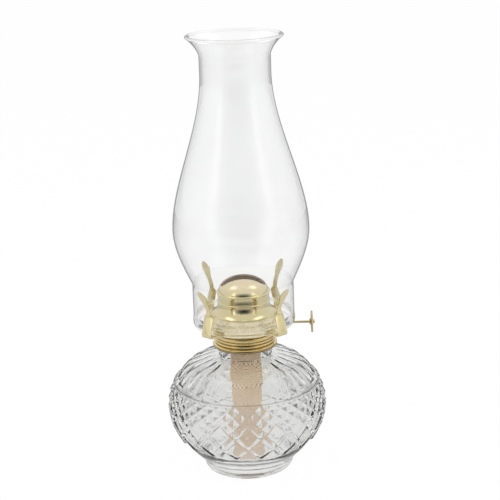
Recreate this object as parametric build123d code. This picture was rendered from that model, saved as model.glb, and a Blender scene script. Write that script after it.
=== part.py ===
from build123d import *
import math
import os

# Clearances that every fit is made with
seat_gap = 0.05        # between nested pieces that are fixed to each other
running_gap = 0.05     # radial play of the shaft in its bearings
moving_gap = 0.3       # between pieces that pass each other

# Wick: flat woven cotton, seven eighths of an inch wide
wick_width = 22.2
wick_thickness = 2.4
wick_play = 0.35       # room round the wick in its tube
wick_stand = 1.2       # wick above the mouth of its tube
wick_bend = 8.0        # radius where the wick turns to lie on the floor
wick_tail = 20.0       # how far the tail reaches in front of the axis

# Font: the pressed glass reservoir the lamp stands on
font_radius = 58.5     # widest point of the belly
belly_height = 48.5    # height of the widest point
belly_drop = 48.5      # half height of the belly below its widest point
shoulder_height = 38.6  # from the widest point up to the root of the neck
shoulder_swell = 21.0  # how far the side stays upright
shoulder_run = 21.4    # how far the shoulder runs flat round the neck
shoulder_dip = 1.2     # fall of that flat run
font_wall = 4.5
floor_height = 9.0     # inside floor
floor_flat = 16.0      # radius of the flat part of the floor
foot_radius = 31.4
foot_flare = 3.6       # growth of the foot towards its top
foot_height = 7.0
foot_ring_width = 5.5
punt_depth = 3.0       # hollow under the foot
neck_height = 13.3     # glass neck above the shoulder, inside the collar
neck_wall = 3.2
neck_relief = 0.5      # neck bore wider than the thread

# Collar: spun brass, cemented over the neck
cement_gap = 1.0
cement_bed = 0.4
collar_sheet = 1.0
collar_lift = 6.0      # gap between the shoulder and the collar
collar_bead = 2.0      # how far the lowest bead stands out
collar_bead_height = 3.6
collar_ridge = 0.8     # how far the ridges and the rim stand out
collar_ridge_height = 1.8
collar_ridge_step = 2.4
collar_rim_height = 2.0
thread_land = 3.4      # height of the threaded part

# Screw shell and cup of the burner
shell_room = 2.5       # space between the wick tube's corners and the shell
shell_sheet = 0.9
shell_depth = 7.5
cup_sheet = 0.6
cup_height = 5.4
cup_inset = 0.2        # cup foot inside the collar's wall
cup_overhang = 2.8     # gallery foot beyond the cup's wall

# Wick tube and vent tube
tube_sheet = 0.5
tube_below_shell = 2.5
tube_mouth_depth = 7.8  # mouth of the tube below the top of the dome
vent_radius = 1.6
vent_bore = 1.1
vent_below_shell = 0.5
vent_above_plate = 2.0

# Wick raiser: shaft, spur wheels, box and thumb wheel
shaft_radius = 0.9
shaft_lift = 2.6       # shaft axis above the collar
spur_tip_radius = 4.4
spur_root_radius = 3.0
spur_teeth = 10
spur_thickness = 0.8
spur_offset = 4.5      # each wheel from the middle of the wick
spur_play = 0.6        # room round the wheels in their box
box_sheet = 0.5
shaft_tail = 0.8       # shaft beyond the far wall of the box
bush_radius = 1.7
bush_out = 3.0         # bush beyond the wall of the cup
thumb_radius = 7.9
thumb_thickness = 1.2
thumb_notches = 28
thumb_notch_depth = 0.35
thumb_hub_radius = 2.4
thumb_hub_length = 1.0
thumb_gap = 11.7       # thumb wheel outside the chimney
rivet_radius = 1.5
rivet_length = 1.6

# Prong ring: stamped spring brass with four bent prongs
prong_angle = 50.0     # turn of each prong from the line of the shaft
prong_sheet = 0.7
prong_ring_width = 6.0
prong_foot_reach = 5.2  # foot outside the waist
prong_tip_reach = 10.0  # tip outside the waist
prong_waist_height = 19.5
prong_tip_height = 36.2
prong_foot_bend = 2.8
prong_waist_bend = 12.0
prong_foot_width = 8.0
prong_stem_width = 3.6
prong_leaf_width = 7.0
prong_taper_start = 15.0
prong_taper_end = 18.0
prong_leaf_start = 25.5
prong_leaf_middle = 31.0
prong_leaf_side = 2.2  # half width of the leaf between its widest point and its tip
prong_leaf_round = 0.6  # how far that point sits above the middle

# Gallery crown and air plate
gallery_slope = 3.0    # foot wider than the top
gallery_height = 8.0
gallery_sheet = 0.8
gallery_lip = 2.6      # inward lip that carries the dome
gallery_rim = 0.6      # rolled edge at the foot
gallery_rim_height = 0.9
plate_sheet = 0.5
plate_hole_radius = 1.1
plate_hole_sides = 6
plate_hole_rings = ((16.3, 16), (19.6, 20))

# Dome: stepped flame spreader with a slot for the wick
slot_end_room = 4.9    # slot beyond each edge of the wick
slot_width = 12.0
cap_land = 2.2         # cap beyond the ends of the slot
cap_height = 10.3
dome_sheet = 0.7
dome_flange = 6.0      # flange beyond the cap
dome_skirt = 5.2       # foot of the skirt beyond the cap
dome_skirt_top = 0.2   # top of the skirt beyond the cap
dome_skirt_hollow = 0.6  # how far the skirt curves in
dome_skirt_height = 8.6
dome_bead = 0.8        # how far the two beads stand out, and half their height
dome_ring = 0.3        # recessed ring beyond the cap
dome_ring_height = 5.4

# Chimney: clear glass with a three inch base
fitter_radius = 36.6
fitter_height = 31.6
fitter_bead = 0.4      # bead round the bottom edge
fitter_bead_height = 6.0
chimney_wall = 1.8
bulge_radius = 48.8
bulge_height = 71.0
bulge_entry = 5.9      # how strongly the bulge leaves the fitter
bulge_swell = 33.0     # how far the bulge stays full above its widest point
neck_draw = 37.0       # how far the neck stays slim below its narrowest point
chimney_neck_radius = 24.9
chimney_neck_height = 182.0
flare_height = 194.8
lip_radius = 33.8
lip_bead = 0.5
chimney_height = 208.5

# Wick tube, thread, neck and collar, worked out from the wick
tube_inner_width = wick_width + 2 * wick_play
tube_inner_depth = wick_thickness + 2 * wick_play
tube_width = tube_inner_width + 2 * tube_sheet
tube_depth = tube_inner_depth + 2 * tube_sheet
shell_inner = math.hypot(tube_width, tube_depth) / 2 + shell_room
shell_radius = shell_inner + shell_sheet
thread_radius = shell_radius + moving_gap
neck_bore = thread_radius + neck_relief
neck_radius = neck_bore + neck_wall
skirt_inner = neck_radius + cement_gap
skirt_radius = skirt_inner + collar_sheet

# Levels of the stack, from the table up
neck_root = belly_height + shoulder_height
neck_top = neck_root + neck_height
collar_bottom = neck_root + collar_lift
land_bottom = neck_top + cement_bed
collar_top = land_bottom + thread_land
cup_top = collar_top + cup_height
chimney_seat = cup_top + prong_sheet
dome_base = chimney_seat + gallery_height
cap_base = dome_base + dome_skirt_height + dome_ring_height + 4 * dome_bead
dome_top = cap_base + cap_height
tube_bottom = collar_top - shell_depth - tube_below_shell
tube_top = dome_top - tube_mouth_depth

# Radii of the dome, gallery and cup, from the slot outwards
slot_length = wick_width + 2 * slot_end_room
cap_radius = slot_length / 2 + cap_land
flange_radius = cap_radius + dome_flange
gallery_foot = flange_radius + gallery_slope
cup_foot = skirt_radius - cup_inset
cup_radius = gallery_foot - cup_overhang

# Place of the shaft behind the wick, and of the box round its wheels
shaft_y = wick_thickness / 2 + moving_gap + spur_tip_radius
shaft_z = collar_top + shaft_lift
box_inner_half = spur_offset + spur_thickness / 2 + spur_play
box_half = box_inner_half + box_sheet
box_inner_reach = spur_tip_radius + spur_play
box_reach = box_inner_reach + box_sheet
vent_y = -(tube_depth / 2 + vent_radius + seat_gap)
bead_radius = fitter_radius + fitter_bead
thumb_x = bead_radius + thumb_gap


def turned(*edges):
    """Solid of revolution about the lamp's axis, from a closed outline in radius and height."""
    return revolve(Plane.XZ * make_face(edges), Axis.Z)


def turned_points(*points):
    """Solid of revolution from straight runs between corners in radius and height."""
    return turned(Polyline(*points, close=True))


def rod_x(radius, start, end):
    """Round bar along X on the shaft's axis."""
    length = end - start
    return Pos(start + length / 2, shaft_y, shaft_z) * Rot(0, 90, 0) * Cylinder(radius, length)


def star(tip, root, teeth):
    """Flat star with pointed teeth."""
    corners = []
    for index in range(2 * teeth):
        radius = root if index % 2 else tip
        angle = math.pi * index / teeth
        corners.append((radius * math.cos(angle), radius * math.sin(angle)))
    return make_face(Polyline(*corners, close=True))


def tube_passage(gap, bottom, height):
    """Space that the wick tube, the raiser's box and the vent tube need through a plate."""
    middle = bottom + height / 2
    tube = Pos(0, 0, middle) * Box(tube_width + 2 * gap, tube_depth + 2 * gap, height)
    box_back = shaft_y + box_reach + gap
    box = Pos(0, box_back / 2, middle) * Box(2 * (box_half + gap), box_back, height)
    vent = Pos(0, vent_y, middle) * Cylinder(vent_radius + gap, height)
    return tube + box + vent


def floor_level(radius):
    """Height of the font's inside floor, which is flat in the middle and rises to the belly."""
    rise = max(0, radius - floor_flat) / (font_radius - font_wall - floor_flat)
    return belly_height - (belly_height - floor_height) * math.sqrt(1 - rise ** 2)


def font_shoulder(side, neck, root):
    """Curve from the widest point of the belly up and in to the neck."""
    return Bezier(
        (side, belly_height),
        (side, belly_height + shoulder_swell),
        (neck + shoulder_run, root - shoulder_dip),
        (neck, root),
    )


def font_glass():
    """Reservoir: round belly on a foot ring, open at the neck."""
    foot_join = foot_radius + foot_flare
    low = -math.degrees(math.acos(foot_join / font_radius))
    belly = EllipticalCenterArc((0, belly_height), font_radius, belly_drop, low, arc_size=-low)
    shoulder = font_shoulder(font_radius, neck_radius, neck_root)
    inner_radius = font_radius - font_wall
    inner_shoulder = font_shoulder(inner_radius, neck_bore, neck_root - font_wall)
    inner_belly = EllipticalCenterArc(
        (floor_flat, belly_height), inner_radius - floor_flat, belly_height - floor_height, 270
    )
    foot_inner = foot_radius - foot_ring_width
    foot = Polyline(
        (0, floor_height),
        (0, punt_depth),
        (foot_inner - punt_depth, punt_depth),
        (foot_inner, 0),
        (foot_radius, 0),
        (foot_join, foot_height),
        belly @ 0,
    )
    neck = Polyline(
        shoulder @ 1,
        (neck_radius, neck_top),
        (neck_bore, neck_top),
        inner_shoulder @ 1,
    )
    floor = Line((0, floor_height), inner_belly @ 0)
    return turned(foot, belly, shoulder, neck, inner_shoulder, inner_belly, floor)


def collar_cement():
    """Ring of cement that fills the collar round and over the neck."""
    inside = neck_radius + seat_gap
    outside = skirt_inner - seat_gap
    over_neck = neck_bore + neck_relief
    return turned_points(
        (inside, collar_bottom + cement_bed),
        (outside, collar_bottom + cement_bed),
        (outside, land_bottom),
        (over_neck, land_bottom),
        (over_neck, neck_top),
        (inside, neck_top),
    )


def font_collar():
    """Collar with a beaded skirt and a threaded land that takes the burner."""
    edges = []
    level = collar_bottom
    bead_top = level + collar_bead_height
    bead_middle = (skirt_radius + collar_bead, level + collar_bead_height / 2)
    edges.append(ThreePointArc((skirt_radius, level), bead_middle, (skirt_radius, bead_top)))
    level = bead_top
    rim_level = collar_top - collar_rim_height
    while level + collar_ridge_step < rim_level:
        ridge_low = level + collar_ridge_step - collar_ridge_height
        ridge_high = level + collar_ridge_step
        crest = (skirt_radius + collar_ridge, (ridge_low + ridge_high) / 2)
        ridge_foot = (skirt_radius, ridge_low)
        edges.append(Polyline((skirt_radius, level), ridge_foot, crest, (skirt_radius, ridge_high)))
        level = ridge_high
    edges.append(
        Polyline(
            (skirt_radius, level),
            (skirt_radius, rim_level),
            (skirt_radius + collar_ridge, rim_level),
            (skirt_radius + collar_ridge, collar_top),
            (thread_radius, collar_top),
            (thread_radius, land_bottom),
            (skirt_inner, land_bottom),
            (skirt_inner, collar_bottom),
            (skirt_radius, collar_bottom),
        )
    )
    return turned(*edges)


def screw_shell():
    """Sleeve of the burner that screws into the collar."""
    bottom = collar_top - shell_depth
    return turned_points(
        (shell_inner, bottom),
        (shell_radius, bottom),
        (shell_radius, collar_top),
        (shell_inner, collar_top),
    )


def burner_cup():
    """Flared cup that stands on the collar and carries the burner."""
    floor_top = collar_top + cup_sheet
    flange_bottom = cup_top - cup_sheet
    cup = turned_points(
        (0, collar_top),
        (cup_foot, collar_top),
        (cup_radius, flange_bottom),
        (gallery_foot, flange_bottom),
        (gallery_foot, cup_top),
        (cup_radius - cup_sheet, cup_top),
        (cup_foot - cup_sheet, floor_top),
        (0, floor_top),
    )
    bush_hole = rod_x(bush_radius + seat_gap, box_half, gallery_foot + bush_out)
    return cup - tube_passage(seat_gap, collar_top, cup_sheet) - bush_hole


def wick_tube():
    """Flat tube round the wick, with a window for each spur wheel."""
    height = tube_top - tube_bottom
    outside = RectangleRounded(tube_width, tube_depth, tube_depth / 3)
    inside = RectangleRounded(tube_inner_width, tube_inner_depth, tube_inner_depth / 3)
    tube = Pos(0, 0, tube_bottom) * extrude(outside - inside, height)
    wall_middle = (tube_inner_depth + tube_sheet) / 2
    window = Box(spur_thickness + 2 * spur_play, 2 * tube_sheet, 2 * spur_tip_radius)
    for side in (-1, 1):
        tube -= Pos(side * spur_offset, wall_middle, shaft_z) * window
    return tube


def vent_tube():
    """Small tube beside the wick tube that lets the font breathe."""
    bottom = collar_top - shell_depth - vent_below_shell
    height = chimney_seat + plate_sheet + vent_above_plate - bottom
    tube = Cylinder(vent_radius, height) - Cylinder(vent_bore, height)
    return Pos(0, vent_y, bottom + height / 2) * tube


def ratchet_box():
    """Housing of the spur wheels, open towards the wick tube."""
    front = tube_depth / 2
    depth = shaft_y + box_reach - front
    outside = Pos(0, front + depth / 2, shaft_z) * Box(2 * box_half, depth, 2 * box_reach)
    inner_depth = depth - box_sheet
    room = Box(2 * box_inner_half, inner_depth, 2 * box_inner_reach)
    bearings = rod_x(shaft_radius + running_gap, -2 * box_half, 2 * box_half)
    return outside - Pos(0, front + inner_depth / 2, shaft_z) * room - bearings


def bush_end():
    """Outer end of the bush, past the wall of the cup at the shaft's height."""
    slope = (cup_radius - cup_foot) / (cup_height - cup_sheet)
    wall_radius = cup_foot + slope * shaft_lift
    return math.sqrt(wall_radius ** 2 - shaft_y ** 2) + bush_out


def shaft_bush():
    """Sleeve that carries the shaft from the box out through the cup."""
    end = bush_end()
    return rod_x(bush_radius, box_half, end) - rod_x(shaft_radius + running_gap, box_half, end)


def wick_shaft():
    """Shaft of the raiser, from the box out to the thumb wheel."""
    return rod_x(shaft_radius, -box_half - shaft_tail, thumb_x + thumb_thickness + rivet_length / 2)


def spur_wheels():
    """Pointed wheels on the shaft that grip the wick."""
    profile = star(spur_tip_radius, spur_root_radius, spur_teeth) - Circle(shaft_radius + seat_gap)
    wheel = extrude(Plane.YZ * profile, spur_thickness / 2, both=True)
    return Compound(children=[Pos(side * spur_offset, shaft_y, shaft_z) * wheel for side in (-1, 1)])


def thumb_wheel():
    """Thin notched wheel that the user turns, with a short hub."""
    bore = Circle(shaft_radius + seat_gap)
    rim = star(thumb_radius, thumb_radius - thumb_notch_depth, thumb_notches) - bore
    hub = Circle(thumb_hub_radius) - bore
    wheel = extrude(Plane.YZ * rim, thumb_thickness) + extrude(Plane.YZ * hub, -thumb_hub_length)
    return Pos(thumb_x, shaft_y, shaft_z) * wheel


def shaft_rivet():
    """Domed head that holds the thumb wheel on the shaft."""
    start = thumb_x + thumb_thickness
    head = rod_x(rivet_radius, start, start + rivet_length)
    head = fillet(head.edges().sort_by(Axis.X)[-1], rivet_radius / 2)
    return head - rod_x(shaft_radius + seat_gap, start, start + rivet_length / 2 + seat_gap)


def prong():
    """One prong along X: a strip bent up from the ring, with a leaf at its tip."""
    middle = chimney_seat - prong_sheet / 2
    waist = bead_radius + moving_gap + prong_sheet / 2
    route = FilletPolyline(
        (gallery_foot - prong_ring_width / 2, middle),
        (waist + prong_foot_reach, middle),
        (waist, middle + prong_waist_height),
        (waist + prong_tip_reach, middle + prong_tip_height),
        radius=[prong_foot_bend, prong_waist_bend],
    )
    strip = extrude(Plane.XZ * trace(route, prong_sheet), prong_foot_width, both=True)
    half_foot = prong_foot_width / 2
    half_stem = prong_stem_width / 2
    half_leaf = prong_leaf_width / 2
    tip = prong_tip_height + prong_sheet
    leaf_level = (prong_leaf_middle + tip) / 2 + prong_leaf_round
    side = [
        (half_foot, -prong_foot_bend),
        (half_foot, prong_taper_start),
        (half_stem, prong_taper_end),
        (half_stem, prong_leaf_start),
        (half_leaf, prong_leaf_middle),
    ]
    other_side = [(-across, up) for across, up in reversed(side)]
    edges = [
        Polyline(*other_side, *side),
        ThreePointArc(side[-1], (prong_leaf_side, leaf_level), (0, tip)),
        ThreePointArc((0, tip), (-prong_leaf_side, leaf_level), other_side[0]),
    ]
    reach = waist + prong_foot_reach + prong_tip_reach
    return strip & Pos(0, 0, middle) * extrude(Plane.YZ * make_face(edges), reach)


def prong_ring():
    """Stamped ring with the prongs that carry and hold the chimney."""
    ring = turned_points(
        (gallery_foot - prong_ring_width, cup_top),
        (gallery_foot, cup_top),
        (gallery_foot, chimney_seat),
        (gallery_foot - prong_ring_width, chimney_seat),
    )
    blade = prong()
    for turn in (prong_angle, 180 - prong_angle, 180 + prong_angle, 360 - prong_angle):
        ring += Rot(0, 0, turn) * blade
    return ring


def air_plate():
    """Perforated plate that spreads the draught under the dome."""
    plate = Pos(0, 0, chimney_seat + plate_sheet / 2) * Cylinder(cup_radius, plate_sheet)
    plate -= tube_passage(seat_gap, chimney_seat, plate_sheet)
    hole = extrude(RegularPolygon(plate_hole_radius, plate_hole_sides), plate_sheet)
    for radius, count in plate_hole_rings:
        plate -= Pos(0, 0, chimney_seat) * PolarLocations(radius, count) * hole
    return plate


def gallery_crown():
    """Sloping crown between the prong ring and the dome."""
    rim_top = chimney_seat + gallery_rim_height
    lip_bottom = dome_base - gallery_sheet
    return turned_points(
        (gallery_foot - gallery_sheet, chimney_seat),
        (gallery_foot + gallery_rim, chimney_seat),
        (gallery_foot + gallery_rim, rim_top),
        (gallery_foot, rim_top),
        (flange_radius, dome_base),
        (flange_radius - gallery_lip, dome_base),
        (flange_radius - gallery_lip, lip_bottom),
        (flange_radius - gallery_sheet, lip_bottom),
    )


def dome_deflector():
    """Stepped dome over the flame, with a slot along the wick."""
    skirt_foot = cap_radius + dome_skirt
    skirt_top = cap_radius + dome_skirt_top
    ring = cap_radius + dome_ring
    flange_top = dome_base + dome_sheet
    skirt_level = dome_base + dome_skirt_height
    lower_bead = skirt_level + 2 * dome_bead
    ring_level = lower_bead + dome_ring_height
    bow_radius = (skirt_foot + skirt_top) / 2 - dome_skirt_hollow
    bow_level = (flange_top + skirt_level) / 2 - dome_skirt_hollow
    cap_sphere = (cap_radius ** 2 + cap_height ** 2) / (2 * cap_height)
    cap_middle = cap_sphere * math.sin(math.asin(cap_radius / cap_sphere) / 2)
    cap_middle_level = dome_top - cap_sphere + math.sqrt(cap_sphere ** 2 - cap_middle ** 2)
    inner_cap = cap_radius - dome_sheet
    inner_skirt = skirt_top - dome_sheet
    inner_bow = (bow_radius - dome_sheet, bow_level - dome_sheet)
    inner_top = dome_top - dome_sheet
    inner_middle_level = cap_middle_level - dome_sheet
    edges = [
        Polyline((flange_radius, dome_base), (flange_radius, flange_top), (skirt_foot, flange_top)),
        ThreePointArc((skirt_foot, flange_top), (bow_radius, bow_level), (skirt_top, skirt_level)),
        Polyline(
            (skirt_top, skirt_level),
            (skirt_top + dome_bead, skirt_level + dome_bead / 2),
            (skirt_top + dome_bead, lower_bead - dome_bead / 2),
            (skirt_top, lower_bead),
            (ring, lower_bead),
            (ring, ring_level),
            (ring + dome_bead, ring_level + dome_bead / 2),
            (ring + dome_bead, cap_base - dome_bead / 2),
            (ring, cap_base),
            (cap_radius, cap_base),
        ),
        ThreePointArc((cap_radius, cap_base), (cap_middle, cap_middle_level), (0, dome_top)),
        Line((0, dome_top), (0, inner_top)),
        ThreePointArc((0, inner_top), (cap_middle, inner_middle_level), (inner_cap, cap_base)),
        Polyline((inner_cap, cap_base), (inner_cap, lower_bead - dome_sheet), (inner_skirt, skirt_level)),
        ThreePointArc((inner_skirt, skirt_level), inner_bow, (skirt_foot - dome_sheet, dome_base)),
        Line((skirt_foot - dome_sheet, dome_base), (flange_radius, dome_base)),
    ]
    slot_outline = RectangleRounded(slot_length, slot_width, slot_width / 3)
    slot = Pos(0, 0, cap_base) * extrude(slot_outline, 2 * cap_height)
    return turned(*edges) - slot


def wick():
    """Wick from the mouth of its tube down to the floor, with its tail turned forward."""
    half = wick_thickness / 2
    corner = math.hypot(wick_tail, wick_width / 2)
    lying = floor_level(corner) + moving_gap + half
    route = FilletPolyline(
        (0, tube_top + wick_stand),
        (0, lying),
        (-wick_tail, lying),
        radius=wick_bend,
    )
    strip = Plane.YZ * trace(route, wick_thickness)
    return extrude(strip, wick_width / 2, both=True)


def chimney_side(inset):
    """One side of the chimney's glass above its straight base, from the fitter to the flare."""
    fitter = fitter_radius - inset
    bulge = bulge_radius - inset
    neck = chimney_neck_radius - inset
    low_third = (bulge_height - fitter_height) / 3
    lip = lip_radius - inset
    flare_rise = chimney_height - lip_bead - flare_height
    points = (
        ((fitter, fitter_height), (fitter + bulge_entry, fitter_height + low_third)),
        ((bulge, bulge_height - low_third), (bulge, bulge_height)),
        ((bulge, bulge_height + bulge_swell), (neck, chimney_neck_height - neck_draw)),
        ((neck, chimney_neck_height), (neck, flare_height)),
        ((neck + (lip - neck) / 4, flare_height + flare_rise / 2), (lip, chimney_height - lip_bead)),
    )
    lift = [[(radius, chimney_seat + level) for radius, level in pair] for pair in points]
    start, low, high, neck_run, flare = lift
    return [
        Bezier(start[0], start[1], low[0], low[1]),
        Bezier(low[1], high[0], high[1], neck_run[0]),
        Line(neck_run[0], neck_run[1]),
        Bezier(neck_run[1], flare[0], flare[1]),
    ]


def chimney():
    """Chimney of clear glass that stands on the prong ring."""
    bead_top = chimney_seat + fitter_bead_height
    bead_middle = chimney_seat + fitter_bead_height / 2
    seat_outer = fitter_radius - fitter_bead
    inner = fitter_radius - chimney_wall
    outside = chimney_side(0)
    inside = chimney_side(chimney_wall)
    lip_outer = outside[-1] @ 1
    lip_inner = inside[-1] @ 1
    lip_top = ((lip_outer.X + lip_inner.X) / 2, chimney_seat + chimney_height)
    base = [
        Polyline(inside[0] @ 0, (inner, chimney_seat), (seat_outer, chimney_seat)),
        ThreePointArc((seat_outer, chimney_seat), (bead_radius, bead_middle), (fitter_radius, bead_top)),
        Line((fitter_radius, bead_top), outside[0] @ 0),
    ]
    lip = ThreePointArc(lip_outer, lip_top, lip_inner)
    return turned(*base, *outside, lip, *inside)


makers = (
    font_glass,
    collar_cement,
    font_collar,
    screw_shell,
    burner_cup,
    wick_tube,
    vent_tube,
    ratchet_box,
    shaft_bush,
    wick_shaft,
    spur_wheels,
    thumb_wheel,
    shaft_rivet,
    prong_ring,
    air_plate,
    gallery_crown,
    dome_deflector,
    wick,
    chimney,
)

os.makedirs("parts", exist_ok=True)
for maker in makers:
    export_step(maker(), f"parts/{maker.__name__}.step")
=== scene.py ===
"""Oil lamp with a pressed glass font, a brass burner and a clear chimney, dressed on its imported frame."""

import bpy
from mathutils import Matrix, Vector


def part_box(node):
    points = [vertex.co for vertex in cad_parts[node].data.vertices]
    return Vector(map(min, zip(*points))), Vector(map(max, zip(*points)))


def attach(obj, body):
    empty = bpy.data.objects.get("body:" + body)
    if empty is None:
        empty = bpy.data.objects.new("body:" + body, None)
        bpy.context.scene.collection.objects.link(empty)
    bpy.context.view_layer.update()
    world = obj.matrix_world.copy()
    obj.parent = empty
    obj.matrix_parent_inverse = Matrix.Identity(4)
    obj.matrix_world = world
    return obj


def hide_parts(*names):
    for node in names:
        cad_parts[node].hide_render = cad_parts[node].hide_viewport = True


bl_info = {
    "name": "Pressed Glass Oil Lamp",
    "version": (1, 0, 0),
    "blender": (4, 5, 0),
    "location": "View3D > Sidebar > Oil Lamp",
    "description": "Builds the lamp's glass, brass and cotton on its packed frame, in a plain studio",
    "category": "Object",
}

import math

import bmesh
import bpy
import numpy as np
from mathutils import Matrix, Vector

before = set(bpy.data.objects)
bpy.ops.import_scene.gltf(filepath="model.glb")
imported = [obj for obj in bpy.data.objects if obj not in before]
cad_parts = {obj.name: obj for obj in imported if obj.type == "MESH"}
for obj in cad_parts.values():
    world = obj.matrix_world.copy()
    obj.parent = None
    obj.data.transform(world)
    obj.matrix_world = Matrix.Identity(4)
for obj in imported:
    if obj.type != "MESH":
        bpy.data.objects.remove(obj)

MM = 0.001
PRONG_TURNS = (50.0, 130.0, 230.0, 310.0)  # degrees round the axis

# Marks that the glass keeps in its run, where that isn't the distance along the font's outside
UNDERSIDE = 0.2
INNER_SHOULDER = -0.2
INNER_BELLY = -0.3
INNER_TUBE = -1.0

# Colours of dirt and wear, and of painted shade and reflection
# Dirt in the collar's grooves, with painted shade there and on its underside and bottom bead
SOIL_AND_SHADE = (0.14, 0.085, 0.025, 1.0)
# Dark brown line painted on the font's ledge: painted shade and reflection
PAINTED_LEDGE_SHADE = (0.05, 0.036, 0.016, 1.0)
# Dark rims painted on the glass where it turns away: painted shade
PAINTED_RIM_SHADE = (0.02, 0.02, 0.022, 1.0)
WICK_FADED = (0.76, 0.66, 0.58, 1.0)
# Wick towards the collar: oil, with painted shade and reflection of the collar
WICK_OIL_AND_SHADE = (0.50, 0.33, 0.17, 1.0)
WICK_SCORCHED = (0.030, 0.022, 0.016, 1.0)
CEMENT_STAIN = (0.50, 0.44, 0.34, 1.0)
WHITE = (1.0, 1.0, 1.0, 1.0)
BLACK = (0.0, 0.0, 0.0, 1.0)


# Node trees written as formulas


class Field:
    """A socket of a node tree that takes arithmetic, so that a formula reads as one."""

    def __init__(self, tree, socket=None):
        self.tree = tree
        self.socket = socket

    def feed(self, value, target):
        """Links a field to a socket, or sets the socket to a constant."""
        if isinstance(value, Field):
            self.tree.links.new(value.socket, target)
        else:
            target.default_value = value

    def node(self, kind, sockets=None, outlet=0, **settings):
        """Any node, from its type, what its sockets take, the outlet wanted and its settings."""
        made = self.tree.nodes.new(kind)
        for key, value in settings.items():
            setattr(made, key, value)
        for key, value in (sockets or {}).items():
            self.feed(value, made.inputs[key])
        return Field(self.tree, made.outputs[outlet])

    def math(self, operation, *values):
        return self.node("ShaderNodeMath", dict(enumerate(values)), operation=operation)

    def __add__(self, other):
        return self.math("ADD", self, other)

    def __radd__(self, other):
        return self.math("ADD", other, self)

    def __sub__(self, other):
        return self.math("SUBTRACT", self, other)

    def __rsub__(self, other):
        return self.math("SUBTRACT", other, self)

    def __mul__(self, other):
        return self.math("MULTIPLY", self, other)

    def __rmul__(self, other):
        return self.math("MULTIPLY", other, self)

    def __truediv__(self, other):
        return self.math("DIVIDE", self, other)

    def __rtruediv__(self, other):
        return self.math("DIVIDE", other, self)

    def __pow__(self, other):
        return self.math("POWER", self, other)

    def __abs__(self):
        return self.math("ABSOLUTE", self)

    def least(self, other):
        return self.math("MINIMUM", self, other)

    def most(self, other):
        return self.math("MAXIMUM", self, other)

    def wave(self, turns=1.0):
        """Sine of this value in whole turns."""
        return self.math("SINE", self * (2 * math.pi * turns))

    def tent(self):
        """Zero at whole numbers and one half way between them."""
        return 1 - abs(self.math("FRACT", self) * 2 - 1)

    def step(self, low, high):
        """Smooth rise from zero at low to one at high."""
        sockets = {0: self, 1: low, 2: high, 3: 0.0, 4: 1.0}
        return self.node("ShaderNodeMapRange", sockets, interpolation_type="SMOOTHSTEP")

    def mixed(self, first, second):
        """Colour between two others by this value."""
        return self.node("ShaderNodeMix", {0: self, 6: first, 7: second}, 2, data_type="RGBA")

    def noise(self, scale, detail=3.0, roughness=0.5):
        """Cloudy noise at this position."""
        sockets = {"Vector": self, "Scale": scale, "Detail": detail, "Roughness": roughness}
        return self.node("ShaderNodeTexNoise", sockets)

    def axis(self, name):
        """One coordinate of a vector."""
        return self.node("ShaderNodeSeparateXYZ", {0: self}, name)

    def attribute(self, name):
        """A named value kept on the mesh."""
        return self.node("ShaderNodeAttribute", outlet="Fac", attribute_name=name)

    def coordinates(self, kind):
        """Texture coordinates of a surface."""
        return self.node("ShaderNodeTexCoord", outlet=kind)

    def ray(self, kind):
        """One for rays of this kind and zero for others."""
        return self.node("ShaderNodeLightPath", outlet=f"Is {kind} Ray")


# Meshes


def bezier(points, count):
    """Points along a cubic curve."""
    t = np.linspace(0, 1, count)[:, None]
    a, b, c, d = (np.array(point, float) for point in points)
    curve = a * (1 - t) ** 3 + 3 * b * t * (1 - t) ** 2 + 3 * c * t * t * (1 - t) + d * t ** 3
    return [tuple(point) for point in curve]


def ellipse(centre, across, up, start, end, count):
    """Points along part of an ellipse, with its ends in degrees."""
    angles = np.radians(np.linspace(start, end, count))
    return [(centre[0] + across * math.cos(a), centre[1] + up * math.sin(a)) for a in angles]


def rounded(points, radius, count=4):
    """Outline with its corners rounded where there is room."""
    room = 0.45  # share of a side that one corner may take
    result = []
    for index, point in enumerate(points):
        here = Vector(point)
        before = Vector(points[index - 1]) - here
        after = Vector(points[(index + 1) % len(points)]) - here
        size = min(radius, room * before.length, room * after.length)
        first = here + before.normalized() * size
        last = here + after.normalized() * size
        for t in np.linspace(0, 1, count):
            result.append(tuple(first * (1 - t) ** 2 + 2 * here * t * (1 - t) + last * t * t))
    return result


def lathe(name, outline, columns, closed=False, runs=None):
    """Mesh of revolution from an outline in millimetres that keeps the outside on its right."""
    points = np.array(outline, float)
    on_axis = points[:, 0] < 1e-6
    turns = np.arange(columns) / columns
    verts, firsts, turn_values, run_values = [], [], [], []
    for row, (radius, height) in enumerate(points):
        firsts.append(len(verts))
        for turn in [0.0] if on_axis[row] else turns:
            angle = 2 * math.pi * turn
            verts.append((radius * math.cos(angle) * MM, radius * math.sin(angle) * MM, height * MM))
            turn_values.append(turn)
            run_values.append(0.0 if runs is None else runs[row])

    def corners(row, *places):
        """Points of a row at two columns, or its one point on the axis."""
        return [firsts[row]] if on_axis[row] else [firsts[row] + place for place in places]

    faces = []
    rows = len(points)
    for row in range(rows if closed else rows - 1):
        for column in range(columns):
            beside = (column + 1) % columns
            face = corners(row, column, beside) + corners((row + 1) % rows, beside, column)
            if len(face) > 2:
                faces.append(face)
    mesh = bpy.data.meshes.new(name)
    mesh.from_pydata(verts, [], faces)
    for label, values in (("turn", turn_values), ("run", run_values)):
        mesh.attributes.new(label, "FLOAT", "POINT").data.foreach_set("value", values)
    return mesh


def linked(name, data):
    """New object in the scene."""
    made = bpy.data.objects.new(name, data)
    bpy.context.scene.collection.objects.link(made)
    return made


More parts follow.
